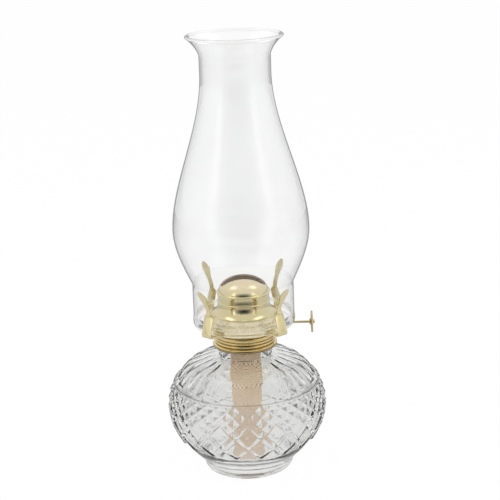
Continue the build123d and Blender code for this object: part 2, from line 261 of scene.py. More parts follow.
def mesh_of(work, name):
    """Mesh of finished edit data, which is freed."""
    mesh = bpy.data.meshes.new(name)
    work.to_mesh(mesh)
    work.free()
    return mesh


def marked(mesh, value):
    """Gives a whole mesh one value of the attribute that its finish reads."""
    mark = mesh.attributes.new("run", "FLOAT", "POINT")
    mark.data.foreach_set("value", [value] * len(mesh.vertices))
    return mesh


def piece(name, mesh, body, slot, *nodes, smooth=180.0):
    """Object of a mesh that rides on a body, has a slot's finish and stands for CAD nodes."""
    mesh.shade_smooth()
    mesh.set_sharp_from_angle(angle=math.radians(smooth))
    mesh.materials.clear()
    mesh.materials.append(finish(slot))
    made = linked(name, mesh)
    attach(made, body)
    if nodes:
        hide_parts(*nodes)
    return made


def shaped(mesh, *modifiers):
    """Mesh after modifiers, given as their type and settings."""
    holder = linked("holder", mesh)
    for kind, settings in modifiers:
        modifier = holder.modifiers.new(kind.title(), kind)
        for key, value in settings.items():
            if kind == "NODES" and key != "node_group":
                modifier[socket_of(modifier.node_group, key)] = value
            else:
                setattr(modifier, key, value)
    bpy.context.view_layer.update()
    graph = bpy.context.evaluated_depsgraph_get()
    result = bpy.data.meshes.new_from_object(holder.evaluated_get(graph), depsgraph=graph)
    bpy.data.objects.remove(holder)
    return result


def socket_of(group, name):
    """Identifier of a node group's input."""
    for item in group.interface.items_tree:
        if item.item_type == "SOCKET" and item.in_out == "INPUT" and item.name == name:
            return item.identifier
    raise KeyError(name)


def joined_copy(node):
    """CAD node as a mesh with its loose triangles joined."""
    same_point = 2e-6
    sliver = 1e-6
    work = bmesh.new()
    work.from_mesh(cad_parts[node].data)
    bmesh.ops.remove_doubles(work, verts=work.verts, dist=same_point)
    bmesh.ops.dissolve_degenerate(work, edges=work.edges, dist=sliver)
    return mesh_of(work, node)


def crowned_prongs(mesh, crown):
    """Rounds each prong across its width, from its foot up, as the stamp leaves the sheet."""
    inner_reach = 0.03          # prongs lie farther out than this
    cut_reach, cuts = 3.4, 9    # lengthwise cuts that let the sheet bend, in millimetres from its middle
    half_foot, widest = 4.0, 4.2
    still = 1.8                 # this far from the middle the sheet keeps its place
    ring_height = 3.0 * MM      # the prongs' feet stand this high in the ring
    full_crown = 4.0 * MM       # height over the foot at which the crown is full
    work = bmesh.new()
    work.from_mesh(mesh)
    foot = min(vert.co.z for vert in work.verts) + ring_height
    for turn in np.radians(PRONG_TURNS):
        out = Vector((math.cos(turn), math.sin(turn), 0.0))
        across = Vector((-out.y, out.x, 0.0))
        for offset in np.linspace(-cut_reach, cut_reach, cuts):
            faces = [face for face in work.faces if face.calc_center_median().dot(out) > inner_reach]
            edges = list({edge for face in faces for edge in face.edges})
            verts = list({vert for face in faces for vert in face.verts})
            plane = across * (offset * MM)
            bmesh.ops.bisect_plane(work, geom=faces + edges + verts, plane_co=plane, plane_no=across)
        for vert in work.verts:
            beside = vert.co.dot(across) / MM
            if vert.co.z > foot and vert.co.dot(out) > inner_reach and abs(beside) < widest:
                rise = min((vert.co.z - foot) / full_crown, 1.0)
                vert.co += out * (crown * rise * (still ** 2 - beside ** 2) / half_foot ** 2)
    work.to_mesh(mesh)
    work.free()
    return mesh


# Geometry node trees


def tree_with(name, **inputs):
    """New geometry node tree with named number inputs, and those inputs as fields."""
    tree = bpy.data.node_groups.new(name, "GeometryNodeTree")
    tree.interface.new_socket("Geometry", in_out="INPUT", socket_type="NodeSocketGeometry")
    tree.interface.new_socket("Geometry", in_out="OUTPUT", socket_type="NodeSocketGeometry")
    for label, value in inputs.items():
        kind = "NodeSocketInt" if isinstance(value, int) else "NodeSocketFloat"
        tree.interface.new_socket(label, in_out="INPUT", socket_type=kind).default_value = value
    tree.interface.new_socket("Material", in_out="INPUT", socket_type="NodeSocketMaterial")
    entry = tree.nodes.new("NodeGroupInput")
    fields = {socket.name: Field(tree, socket) for socket in entry.outputs if socket.name}
    return tree, fields


def close_tree(tree, geometry, material):
    """Ends a tree in real geometry with its material."""
    root = Field(tree)
    real = root.node("GeometryNodeRealizeInstances", {0: geometry})
    dressed = root.node("GeometryNodeSetMaterial", {"Geometry": real, "Material": material})
    exit_node = tree.nodes.new("NodeGroupOutput")
    root.feed(dressed, exit_node.inputs[0])
    return tree


def named(root, name):
    """Value kept on the mesh, as a geometry field."""
    return root.node("GeometryNodeInputNamedAttribute", {"Name": name}, "Attribute", data_type="FLOAT")


def relief_tree():
    """Cuts the pressed pattern into the font: flutes, a ledge, small diamonds and large diamonds.

    Places are runs in metres along the outside, from the ledge downwards; the shoulder's are negative.
    """
    crease = (-0.0004, 0.0004)        # step between two fields
    belly_end = (0.046, 0.066)        # the cut grows shallow between the last diamonds and the foot
    below_ledge = (0.0006, 0.0016)
    above_foot = (0.074, 0.078)
    flutes_start, flutes_end = (-0.040, -0.024), (-0.008, -0.001)
    flute_depth, front_flutes = 1.2, 0.06
    flank = (0.42, 0.72)              # sine of the turn over which the flutes grow deep
    recess, recess_depth = (-0.016, -0.003), 0.85
    ledge = (-0.0002, 0.0)
    rib_side = (0.04, 0.3)            # share of a large diamond over which its rib falls to its floor
    rib_cut, floor_cut, floor_rise = 0.15, 0.8, 0.15
    last_cut, last_fade = 1.1, 0.9    # cut below the large diamonds, and what it loses towards the foot
    tree, inputs = tree_with(
        "Pressed pattern", Large=18, Fine=36, Flutes=24, Depth=0.0013,
        Fine_Height=0.0089, Large_Height=0.023, Large_Start=0.0125,
    )
    root = Field(tree)
    turn = named(root, "turn")
    run = named(root, "run")
    fine_across = turn * inputs["Fine"]
    fine_along = run / inputs["Fine_Height"]
    fine = (fine_across + fine_along).tent().least((fine_across - fine_along).tent())
    around = turn * inputs["Large"]
    down = run - inputs["Large_Start"]
    large_along = down / inputs["Large_Height"]
    large = (around + 0.5 + large_along).tent().least((around + 0.5 - large_along).tent())
    half = inputs["Large_Height"] / 2
    zigzag = half * (1 - around.tent())
    in_large = (down - zigzag).step(*crease)
    past_large = (down - zigzag - 2 * half).step(*crease)
    fine_cut = 1 - fine
    large_cut = large.step(*rib_side) * floor_cut - large * floor_rise + rib_cut
    end_cut = last_cut - run.step(*belly_end) * last_fade
    pattern = fine_cut * (1 - in_large) + large_cut * in_large * (1 - past_large) + end_cut * past_large
    band = run.step(*below_ledge) * (1 - run.step(*above_foot))
    hollow = 1 - (1 - (turn * inputs["Flutes"]).tent()) ** 2
    window = run.step(*flutes_start) * (1 - run.step(*flutes_end))
    sides = front_flutes + (1 - front_flutes) * abs((turn + 0.25).wave()).step(*flank)
    shoulder = recess_depth * run.step(*recess) + hollow * window * sides * flute_depth
    cut = pattern * band + shoulder * (1 - run.step(*ledge))
    normal = root.node("GeometryNodeInputNormal")
    amount = cut * inputs["Depth"] * -1
    offset = root.node("ShaderNodeVectorMath", {0: normal, "Scale": amount}, operation="SCALE")
    moved = root.node("GeometryNodeSetPosition", {"Geometry": inputs["Geometry"], "Offset": offset})
    return close_tree(tree, moved, inputs["Material"])


def ring_tree():
    """Repeats a motif round the lamp's axis."""
    tree, inputs = tree_with("Repeat round axis", Count=12, Phase=0.0)
    root = Field(tree)
    sockets = {"Count": inputs["Count"], "Offset": (0.0, 0.0, 0.0)}
    points = root.node("GeometryNodeMeshLine", sockets, mode="OFFSET")
    index = root.node("GeometryNodeInputIndex")
    angle = (index / inputs["Count"] + inputs["Phase"]) * (2 * math.pi)
    turn = root.node("ShaderNodeCombineXYZ", {"Z": angle})
    sockets = {"Points": points, "Instance": inputs["Geometry"], "Rotation": turn}
    placed = root.node("GeometryNodeInstanceOnPoints", sockets)
    return close_tree(tree, placed, inputs["Material"])


# Materials


def principled(name, **constants):
    """New material with constants on its shader; gives it, a field to build on and the shader's sockets."""
    made = bpy.data.materials.new(name)
    made.use_nodes = True
    shader = made.node_tree.nodes["Principled BSDF"]
    for label, value in constants.items():
        shader.inputs[label.replace("_", " ")].default_value = value
    return made, Field(made.node_tree), shader.inputs


def bumped(root, strength, distance, height):
    """Normal that a height bends."""
    return root.node("ShaderNodeBump", {"Strength": strength, "Distance": distance, "Height": height})


def metal(name, bright, deep, polish, tarnish, spun=0.0, dull_tone=None, bare=1.0, lacquer=0.0):
    """Brass with turning lines, cloudy tarnish and specks in its polish.

    With a dull tone, the mesh's run asks for that tone above zero, and below zero for dirt and painted shade.
    """
    made, root, sockets = principled(
        name, Metallic=1.0, IOR=1.45, Coat_Weight=lacquer, Coat_IOR=1.8, Coat_Roughness=0.05
    )
    place = root.coordinates("Object")
    lines_per_metre = 2600.0
    turned = {"W": place.axis("Z") * lines_per_metre, "Detail": 2.0}
    lines = root.node("ShaderNodeTexNoise", turned, noise_dimensions="1D")
    cloud = place.noise(55.0, 5.0, 0.6)
    patch = place.noise(210.0, 4.0, 0.65)
    speck = place.noise(2600.0, 2.0)
    age = (cloud.step(0.42, 0.75) * 0.6 + patch.step(0.5, 0.8) * 0.5) * tarnish
    colour = age.mixed(bright, deep)
    if dull_tone is not None:
        mark = root.attribute("run")
        dull = mark.most(0.0)
        # Below zero the run asks for dirt and painted shade: the collar's grooves, underside and bottom bead
        colour = (mark * -1).most(0.0).mixed(colour, SOIL_AND_SHADE)
        colour = dull.mixed(colour, (patch * 0.6).mixed(dull_tone, deep))
        root.feed(1 - dull * (1 - bare), sockets["Metallic"])
        polish = polish + dull * 0.3
    root.feed(colour, sockets["Base Color"])
    rough = polish + age * 0.22 + (lines - 0.5) * 0.05 * spun + speck.step(0.62, 0.75) * 0.05
    root.feed(rough.most(0.03), sockets["Roughness"])
    ripple = lines * spun + patch * 0.8 + speck * 0.15
    root.feed(bumped(root, 0.10, 0.0002, ripple), sockets["Normal"])
    return made


def brass(name, colours):
    """Spun brass of the collar, cup and gallery, pale where the gallery asks."""
    return metal(
        name, colours.brass, colours.brass_deep, polish=0.08, tarnish=0.35, spun=1.0,
        dull_tone=colours.gallery, bare=0.1, lacquer=0.6,
    )


def polished_brass(name, colours):
    """Brass of the dome, coppery where the flame has heated its inside, and paler on top of its cap as a
    painted highlight.
    """
    return metal(
        name, colours.dome, colours.dome_deep, polish=0.05, tarnish=0.2, spun=0.6,
        dull_tone=colours.dome_heat_and_cap_highlight, bare=0.0, lacquer=1.0,
    )


def spring_brass(name, colours):
    """Hard sheet brass of the prongs."""
    return metal(name, colours.prongs, colours.prongs_deep, polish=0.15, tarnish=0.35, lacquer=0.6)


def tube_brass(name, colours):
    """Dull brass inside the burner."""
    return metal(name, colours.tube, colours.tube_deep, polish=0.24, tarnish=0.6)


def shaft_brass(name, colours):
    """Handled brass of the wick raiser."""
    return metal(name, colours.shaft, colours.shaft_deep, polish=0.2, tarnish=0.6)


def glass(name, tint, waviness, haze, rim, pressed=False):
    """Clear glass with a faint tint, dark rims of painted shade, drawn waviness, seeds and a film of dust and
    wiping marks.
    """
    grazing = (0.785, 0.81)               # how far the surface turns away where its rim is painted dark, a painted shade
    ledge_line_reach = 0.0008                   # the painted dark line lies this far above and below the ledge
    front_to_back = (-0.02, 0.01)         # places in Y between which the painted line thins towards the back
    made, root, sockets = principled(name, Transmission_Weight=1.0, IOR=1.5, Specular_IOR_Level=0.5)
    place = root.coordinates("Object")
    film = place.noise(38.0, 5.0, 0.6).step(0.45, 0.8)
    wipe = place.noise(190.0, 3.0).step(0.5, 0.85)
    dusty = (tint[0] * 0.975, tint[1] * 0.975, tint[2] * 0.965, 1.0)
    colour = film.mixed(tint, dusty)
    facing = root.node("ShaderNodeLayerWeight", {"Blend": 0.5}, "Facing")
    run = root.attribute("run")
    inner = 1 - run.step(INNER_BELLY, INNER_SHOULDER)
    outer = run.step(-0.5, -0.4)          # all but the inside of the chimney
    # Painted shade: the rim is darkened by how far the surface turns from the view
    edge = facing.step(*grazing) * outer * rim
    colour = edge.mixed(colour, PAINTED_RIM_SHADE)
    rough = film * wipe * haze
    if pressed:
        on_ledge = (1 - abs(run) / ledge_line_reach).most(0.0)
        behind = place.axis("Y").step(*front_to_back)
        # Painted shade and reflection: a dark line along the ledge, strongest at the front and thinning
        # towards the back
        colour = (on_ledge * (0.6 + wipe * 0.4) * (1 - behind * 0.85)).mixed(colour, PAINTED_LEDGE_SHADE)
        rough = rough + inner * 0.07
    root.feed(colour, sockets["Base Color"])
    root.feed(rough, sockets["Roughness"])
    stretch = root.node("ShaderNodeMapping", {"Vector": place, "Scale": (1.0, 1.0, 0.35)})
    wave = stretch.noise(70.0, 2.0)
    if pressed:
        wave = wave * (1 + inner * 6.0)
    seeds = place.noise(900.0, 0.0).step(0.80, 0.86)
    root.feed(bumped(root, waviness, 0.0006, wave + seeds * 0.3), sockets["Normal"])
    light = root.ray("Shadow")
    light = light.most(root.ray("Diffuse"))
    if not pressed:
        light = light.most(root.ray("Reflection"))
    shade = root.node("ShaderNodeBsdfTransparent", {"Color": (0.9, 0.9, 0.9, 1.0)})
    body = Field(made.node_tree, made.node_tree.nodes["Principled BSDF"].outputs[0])
    both = root.node("ShaderNodeMixShader", {0: light, 1: body, 2: shade})
    root.feed(both, made.node_tree.nodes["Material Output"].inputs["Surface"])
    return made


def pressed_glass(name, colours):
    """Thick glass of the font, wavy and a little dull inside, with a dark line of painted shade and
    reflection on its ledge.
    """
    return glass(name, colours.font_glass, waviness=0.12, haze=0.06, rim=0.1, pressed=True)


def chimney_glass(name, colours):
    """Thin glass of the chimney. Mirrored rays pass it, so that the brass inside shows the light."""
    return glass(name, colours.chimney_glass, waviness=0.015, haze=0.05, rim=1.0)


def wick_cotton(name, colours):
    """Undyed cotton wick: ribbed weave with crossing picks, loose fibre, a scorched top, and darker towards
    the collar with oil and painted shade.
    """
    lying, standing = 0.032, 0.062        # heights between which the faded lower end turns fresh
    # Heights between which the wick darkens with oil and painted shade
    oil_and_shade_start, oil_and_shade_full = 0.074, 0.089
    scorch_start, scorch_full = 0.1350, 0.1392
    picks_along = 90.0
    ribs_across = float(bpy.context.scene.oil_lamp.wick.ribs)
    made, root, sockets = principled(name, Sheen_Weight=0.35, Sheen_Roughness=0.6, IOR=1.4)
    uv = root.coordinates("UV")
    place = root.coordinates("Object")
    height = place.axis("Z")
    column = uv.axis("X") * ribs_across
    ribs = abs(column.wave(0.5))
    lean = column.math("FLOOR", column) * 0.5
    picks = abs((uv.axis("Y") * picks_along + lean).wave(0.5))
    fibre = place.noise(2400.0, 3.0, 0.6)
    wear = place.noise(120.0, 4.0)
    shade = (picks * 0.65 + fibre * 0.25 + wear * 0.3).step(0.2, 1.0)
    tone = shade.mixed(colours.wick_dark, colours.wick_light)
    tone = (0.45 - height.step(lying, standing) * 0.45).mixed(tone, WICK_FADED)
    # Darker towards the collar: partly oil, partly painted shade and reflection from the brass above
    tone = (height.step(oil_and_shade_start, oil_and_shade_full) * 0.85).mixed(tone, WICK_OIL_AND_SHADE)
    tone = height.step(scorch_start, scorch_full).mixed(tone, WICK_SCORCHED)
    root.feed(tone, sockets["Base Color"])
    root.feed(0.95 - ribs * 0.12, sockets["Roughness"])
    root.feed(bumped(root, 0.9, 0.0005, ribs * 0.12 + picks * 0.75 + fibre * 0.3), sockets["Normal"])
    return made


def cement(name, colours):
    """Cement under the collar: chalky, grainy and a little stained."""
    made, root, sockets = principled(name, IOR=1.5)
    place = root.coordinates("Object")
    grain = place.noise(1500.0, 4.0, 0.7)
    stain = place.noise(140.0, 4.0).step(0.4, 0.75)
    root.feed(stain.mixed(colours.cement, CEMENT_STAIN), sockets["Base Color"])
    root.feed(0.8 + grain * 0.15, sockets["Roughness"])
    root.feed(bumped(root, 0.5, 0.0004, grain), sockets["Normal"])
    return made


# One function for each material slot of the record
FINISHES = {
    "brass": brass,
    "polished_brass": polished_brass,
    "spring_brass": spring_brass,
    "tube_brass": tube_brass,
    "shaft_brass": shaft_brass,
    "pressed_glass": pressed_glass,
    "chimney_glass": chimney_glass,
    "cement": cement,
    "wick_cotton": wick_cotton,
}


def finish(slot):
    """The one material of a record slot, made when it is first wanted."""
    name = "slot " + slot
    return bpy.data.materials.get(name) or FINISHES[slot](name, bpy.context.scene.oil_lamp.finishes)


# Settings that the sidebar shows


def count_setting(name, description, default, least):
    """Whole number that a user may change."""
    return bpy.props.IntProperty(name=name, description=description, default=default, min=least)


def length_setting(name, description, default):
    """Small length in metres that a user may change."""
    return bpy.props.FloatProperty(
        name=name, description=description, default=default, min=0.0, max=0.003, precision=5,
        unit="LENGTH", subtype="DISTANCE",
    )


def power_setting(name, description, default):
    """Power of a light in watts that a user may change."""
    return bpy.props.FloatProperty(name=name, description=description, default=default, min=0.0, unit="POWER")


def colour_setting(name, description, red, green, blue):
    """Colour that a user may change."""
    return bpy.props.FloatVectorProperty(
        name=name, description=description, default=(red, green, blue, 1.0), size=4, min=0.0, max=1.0,
        subtype="COLOR",
    )


class FontSettings(bpy.types.PropertyGroup):
    """Pressed pattern of the font."""

    large: count_setting("Large diamonds", "Large diamonds round the belly", 18, 6)
    fine: count_setting("Small diamonds", "Small diamonds round the shoulder", 36, 6)
    flutes: count_setting("Flutes", "Flutes round the neck", 24, 6)
    depth: length_setting("Depth", "Depth of the pattern", 0.0013)
    columns: count_setting("Columns", "Faces round the font", 360, 72)


class BurnerSettings(bpy.types.PropertyGroup):
    """Ornament of the burner."""

    motifs: count_setting("Motifs", "Embossed motifs round the gallery", 12, 3)
    beads: count_setting("Beads", "Small beads along each edge of the gallery", 84, 12)
    prong_crown: length_setting("Prong crown", "Rounding of a prong over its foot", 0.0009)


class WickSettings(bpy.types.PropertyGroup):
    """Weave of the wick."""

    ribs: count_setting("Ribs", "Woven ribs across the wick", 15, 3)
    rib_height: length_setting("Rib height", "Height of a rib", 0.00008)


class FinishSettings(bpy.types.PropertyGroup):
    """Colours of the metal, glass, cotton and cement."""

    brass: colour_setting("Brass", "Collar, cup and gallery", 0.80, 0.62, 0.26)
    brass_deep: colour_setting("Brass tarnish", "Tarnish on the collar, cup and gallery", 0.52, 0.36, 0.11)
    gallery: colour_setting("Gallery", "Pale finish of the gallery", 1.0, 0.94, 0.72)
    dome: colour_setting("Dome", "Polished dome", 0.93, 0.80, 0.42)
    dome_deep: colour_setting("Dome tarnish", "Tarnish on the dome", 0.70, 0.54, 0.20)
    # Heated inside of the dome, and weaker on the top of its cap as a painted highlight
    dome_heat_and_cap_highlight: colour_setting("Dome inside", "Heated inside of the dome", 0.98, 0.80, 0.70)
    prongs: colour_setting("Prongs", "Prong ring", 0.86, 0.75, 0.42)
    prongs_deep: colour_setting("Prong tarnish", "Tarnish on the prong ring", 0.60, 0.48, 0.20)
    tube: colour_setting("Tube", "Wick tube and the plain pieces round it", 0.70, 0.56, 0.30)
    tube_deep: colour_setting("Tube tarnish", "Tarnish on the wick tube", 0.36, 0.25, 0.10)
    shaft: colour_setting("Shaft", "Shaft and wheels of the wick raiser", 0.82, 0.68, 0.42)
    shaft_deep: colour_setting("Shaft tarnish", "Tarnish on the wick raiser", 0.42, 0.30, 0.14)
    font_glass: colour_setting("Font glass", "Tint of the font", 0.885, 0.887, 0.876)
    chimney_glass: colour_setting("Chimney glass", "Tint of the chimney", 0.985, 0.99, 0.988)
    wick_dark: colour_setting("Wick hollows", "Cotton between the picks", 0.50, 0.33, 0.19)
    wick_light: colour_setting("Wick picks", "Cotton on top of the picks", 0.93, 0.75, 0.54)
    cement: colour_setting("Cement", "Cement under the collar", 0.74, 0.71, 0.64)


class StageSettings(bpy.types.PropertyGroup):
    """Studio round the lamp."""

    key: power_setting("Key light", "Power of the large soft light", 6.0)
    fill: power_setting("Fill light", "Power of the light opposite", 4.0)
    ambient: bpy.props.FloatProperty(
        name="Ambient", description="Level of the light from all round", default=0.55, min=0.0, max=1.0,
        subtype="FACTOR",
    )


class LampSettings(bpy.types.PropertyGroup):
    """All settings of the lamp."""

    font: bpy.props.PointerProperty(type=FontSettings, name="Font", description="Pressed glass reservoir")
    burner: bpy.props.PointerProperty(type=BurnerSettings, name="Burner", description="Brass burner")
    wick: bpy.props.PointerProperty(type=WickSettings, name="Wick", description="Cotton wick")
    finishes: bpy.props.PointerProperty(type=FinishSettings, name="Finishes", description="Colours")
    stage: bpy.props.PointerProperty(type=StageSettings, name="Stage", description="Floor, light and camera")


# Outlines in millimetres of radius and height


def extent(node):
    """Lowest and highest corner of a CAD node, in millimetres."""
    low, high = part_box(node)
    return low / MM, high / MM


def font_outline():
    """Outline of the font from the middle of its underside round to its floor, with its runs.

    A run is the distance in metres along the outside, downwards from the ledge.
    """
    high = extent("font_glass")[1]
    belly, top = high.x, high.z
    middle = 48.5                                  # height of the widest point
    wall, floor_level, floor_flat = 4.5, 9.0, 16.0
    foot, foot_top, foot_ring = 31.4, 35.0, 5.5
    punt = 3.0                                     # hollow under the foot
    neck, bore, neck_root = 19.5, 16.3, 87.1
    ledge = 67.0
    meeting = 11                                   # point of the belly that the foot's side runs into

    def shoulder_curve(inset, root, count):
        """From the widest point up to the root of the neck."""
        side, level = belly - inset, neck_root - inset
        swell, flat = (side, middle + 21.0), (root + 21.4, level - 1.2)
        return bezier([(side, middle), swell, flat, (root, level)], count)

    side = ellipse((0, middle), belly, middle, -math.degrees(math.acos(foot_top / belly)), 0, 84)
    ring = [(foot - foot_ring - punt, punt), (foot - foot_ring, 0.0), (foot, 0.0), (foot + 1.8, 3.5)]
    lower = rounded(ring, 1.2)[2:-2]
    lower += bezier([(foot + 1.2, 2.4), (foot + 2.8, 6.4), (foot + 3.5, 8.3), side[meeting]], 14)
    shoulder = shoulder_curve(0.0, neck, 110)[1:]
    edge = min(range(len(shoulder)), key=lambda index: abs(shoulder[index][1] - ledge))
    here, above = Vector(shoulder[edge]), Vector(shoulder[edge + 1])
    shoulder[edge + 1:edge + 1] = [tuple(here.lerp(above, part)) for part in (0.25, 0.5)]
    outside = lower + side[meeting + 1:] + shoulder
    rim = [(neck, level) for level in (88.6, 92.0, 96.0, top - 0.8)]
    rim += [(neck - 0.4, top - 0.1), (neck - 0.9, top), (bore + 0.7, top), (bore + 0.1, top - 0.3)]
    inside = shoulder_curve(wall, bore, 26)[::-1]
    inside += ellipse((floor_flat, middle), belly - wall - floor_flat, middle - floor_level, 0, -90, 26)[1:]
    inside += [(8.0, floor_level), (0.0, floor_level)]
    under = [(0.0, punt), (12.0, punt)]
    steps = np.hypot(*np.diff(np.array(outside), axis=0).T)
    distance = np.concatenate([[0], np.cumsum(steps)])
    runs = (distance[edge + len(outside) - len(shoulder)] - distance) * MM
    within = [INNER_BELLY if level < ledge - 1.0 else INNER_SHOULDER for radius, level in rim + inside]
    return under + outside + rim + inside, [UNDERSIDE] * len(under) + list(runs) + within


def chimney_outline():
    """Outline of the chimney's wall, outside up and inside down, with its inside marked."""
    low, high = extent("chimney")
    seat, bulge = low.z, high.x
    fitter, neck, lip, wall = 36.6, 24.9, 33.8, 1.8
    bead, bead_level = 0.4, 3.2
    bulge_level = 71.0

    def side(inset):
        """From the straight base up over the bulge and the neck to the flare."""
        base, belly, throat, mouth = (radius - inset for radius in (fitter, bulge, neck, lip))
        flare = mouth - throat
        opening = [(throat, 194.8), (throat + flare / 6, 199.2), (throat + flare / 2, 203.3)]
        return (
            bezier([(base, 31.6), (base + 5.9, 44.73), (belly, 57.87), (belly, bulge_level)], 30)
            + bezier([(belly, bulge_level), (belly, 104.0), (throat, 145.0), (throat, 182.0)], 56)[1:]
            + [(throat, level) for level in (185.0, 188.0, 191.0)]
            + bezier(opening + [(mouth - 0.2, 206.6)], 16)
        )

    outside = ellipse((fitter - 2.0, bead_level), 2.0 + bead, bead_level, -90, 0, 9)
    outside += ellipse((fitter, bead_level), bead, 3.4, 0, 90, 7)[1:]
    outside += [(fitter, level) for level in (10.0, 14.0, 19.0, 24.0, 28.0)]
    outside += side(0.0) + ellipse((lip - 1.0, 207.4), 1.3, 1.1, -40, 200, 18)
    inside = side(wall)[::-1] + [(fitter - wall, level) for level in (28.0, 20.0, 12.0, 5.0, 1.2)]
    inside += [(fitter - wall - 0.2, 0.3)]
    outline = [(radius, level + seat) for radius, level in outside + inside]
    return outline, [0.0] * len(outside) + [INNER_TUBE] * len(inside)


def dome_outline():
    """Outline of the dome's sheet, outside up and inside down."""
    foot = extent("gallery_crown")[1].z
    sheet, bead = 0.7, 0.8
    ring, lining = 18.5, 17.5         # recessed ring, and the inside of the sheet there
    flange = [(22.9, 0.0), (24.0, 0.05), (24.2, 0.4), (24.0, 0.7), (23.4, 0.75)]
    skirt = bezier([(23.4, 0.8), (21.0, 2.2), (18.8, 4.7), (ring, 8.5)], 16)
    middle = ellipse((ring - 0.1, 9.4), bead, bead, -80, 80, 9)
    middle += [(ring + 0.1, 10.4), (ring, 10.9), (ring, 13.1), (ring, 15.1), (ring + 0.1, 15.5)]
    middle += ellipse((ring, 16.4), bead, bead, -80, 80, 9)
    cap = bezier([(18.2, 17.3), (17.4, 22.3), (10.6, 27.5), (0.0, 27.5)], 40)
    inside = [(max(0.0, radius - sheet), level - sheet) for radius, level in cap[::-1]]
    inside += [(lining, 14.7), (lining, 9.5), (lining + 0.2, 8.6)]
    inside += [(radius - sheet, level) for radius, level in skirt[::-1]]
    return [(radius, level + foot) for radius, level in flange + skirt + middle + cap + inside]


def collar_outline():
    """Outline of the collar with rounded beads, and how much dirt and painted shade lies along it."""
    rim = extent("font_collar")[1].z
    foot = rim - 11.1
    wall, bore, sheet, ridge, bead = 21.5, 15.8, 1.0, 0.8, 2.0
    land = rim - 3.4                  # foot of the threaded part
    outline = ellipse((wall, foot + 1.8), bead, 1.8, -90, 90, 14)
    for middle in (foot + 5.0, foot + 7.4):
        outline += [(wall, middle - 1.0)] + ellipse((wall, middle), ridge, 0.85, -80, 80, 8)
    lip = [(wall, rim - 2.1), (wall + ridge, rim - 2.0), (wall + ridge, rim), (bore, rim)]
    outline += rounded(lip, 0.5)[3:]
    outline += [(bore, land + 0.2), (bore + 0.1, land), (wall - sheet - 0.1, land)]
    outline += [(wall - sheet, land - 0.1), (wall - sheet, foot + 0.1)]
    # Painted shade, partly dirt in the grooves: the grooves, the underside and the whole bottom bead are
    # darkened
    soil_and_shade = []
    for radius, level in outline:
        sheltered = radius < wall + 0.2 or level < foot + 1.3
        on_bead = level < foot + 2.5
        soil_and_shade.append(-0.85 if sheltered else -0.75 if on_bead else 0.0)
    return outline, soil_and_shade


def gallery_outline():
    """Outline of the gallery's sheet, a rim at its foot, a slope and an inward lip."""
    low, high = extent("gallery_crown")
    bottom, top = low.z, high.z
    foot, crown, sheet, rim, rim_height, lip = 27.2, 24.2, 0.8, 0.6, 0.9, 2.6
    points = [
        (foot - sheet, bottom), (foot + rim, bottom), (foot + rim, bottom + rim_height),
        (foot, bottom + rim_height + 0.05), (crown, top), (crown - lip, top),
        (crown - lip, top - sheet), (crown - sheet, top - sheet),
    ]
    return rounded(points, 0.3)


# Operators that build the pieces


class LAMP_OT_font(bpy.types.Operator):
    """Builds the pressed glass font"""

    bl_idname = "lamp.font"
    bl_label = "Build font"

    def execute(self, context):
        settings = context.scene.oil_lamp.font
        outline, runs = font_outline()
        base = lathe("font_glass", outline, settings.columns, runs=runs)
        base.shade_smooth()
        values = {
            "node_group": relief_tree(), "Material": finish("pressed_glass"), "Large": settings.large,
            "Fine": settings.fine, "Flutes": settings.flutes, "Depth": settings.depth,
        }
        mesh = shaped(base, ("NODES", values))
        piece("font", mesh, "font", "pressed_glass", "font_glass", smooth=60)
        return {"FINISHED"}


class LAMP_OT_chimney(bpy.types.Operator):
    """Builds the glass chimney"""

    bl_idname = "lamp.chimney"
    bl_label = "Build chimney"

    def execute(self, context):
        outline, runs = chimney_outline()
        mesh = lathe("chimney_glass", outline, columns=180, closed=True, runs=runs)
        piece("chimney_tube", mesh, "chimney", "chimney_glass", "chimney", smooth=70)
        return {"FINISHED"}


class LAMP_OT_collar(bpy.types.Operator):
    """Builds the collar and its cement"""

    bl_idname = "lamp.collar"
    bl_label = "Build collar"

    def execute(self, context):
        outline, soil_and_shade = collar_outline()
        mesh = lathe("collar", outline, columns=144, closed=True, runs=soil_and_shade)
        piece("collar", mesh, "font", "brass", "font_collar", smooth=40)
        piece("cement", joined_copy("collar_cement"), "font", "cement", "collar_cement", smooth=30)
        return {"FINISHED"}


